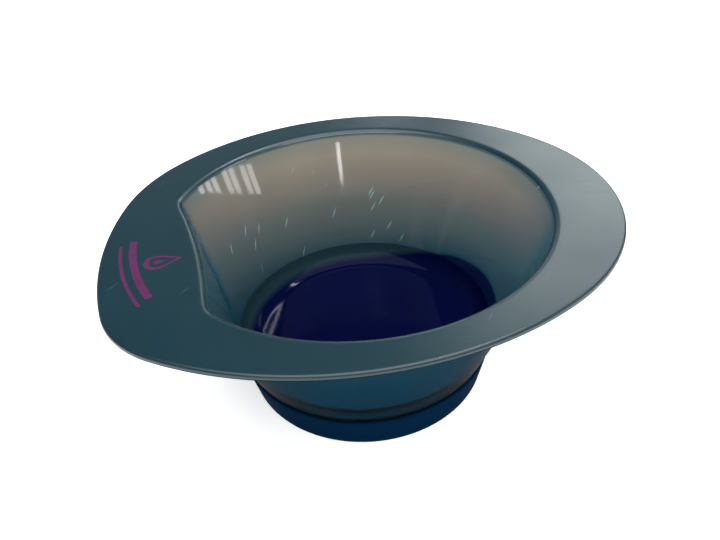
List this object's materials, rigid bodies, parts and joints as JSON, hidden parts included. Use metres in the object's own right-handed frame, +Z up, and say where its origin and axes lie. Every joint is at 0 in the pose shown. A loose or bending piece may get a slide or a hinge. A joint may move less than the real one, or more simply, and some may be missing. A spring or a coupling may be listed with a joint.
{
  "type": "hair color mixing bowl",
  "caption": "Round tapered salon mixing bowl with a wide rim that runs out into a handle, a flat brush-wiping wall and a soft non-slip base.",
  "frame": {"origin": "centre of the foot on the resting surface", "axes": "+Z up through the bowl's mouth, the handle towards -X, +Y across the rim"},
  "size_m": [0.1488, 0.1356, 0.0594],
  "materials": {
    "smoke_plastic": "satin outside and on the rim, polished inside",
    "base_rubber": "matte"
  },
  "bodies": {
    "root": {"bowl_shell": "smoke_plastic", "non_slip_base": "base_rubber"}
  },
  "joints": []
}
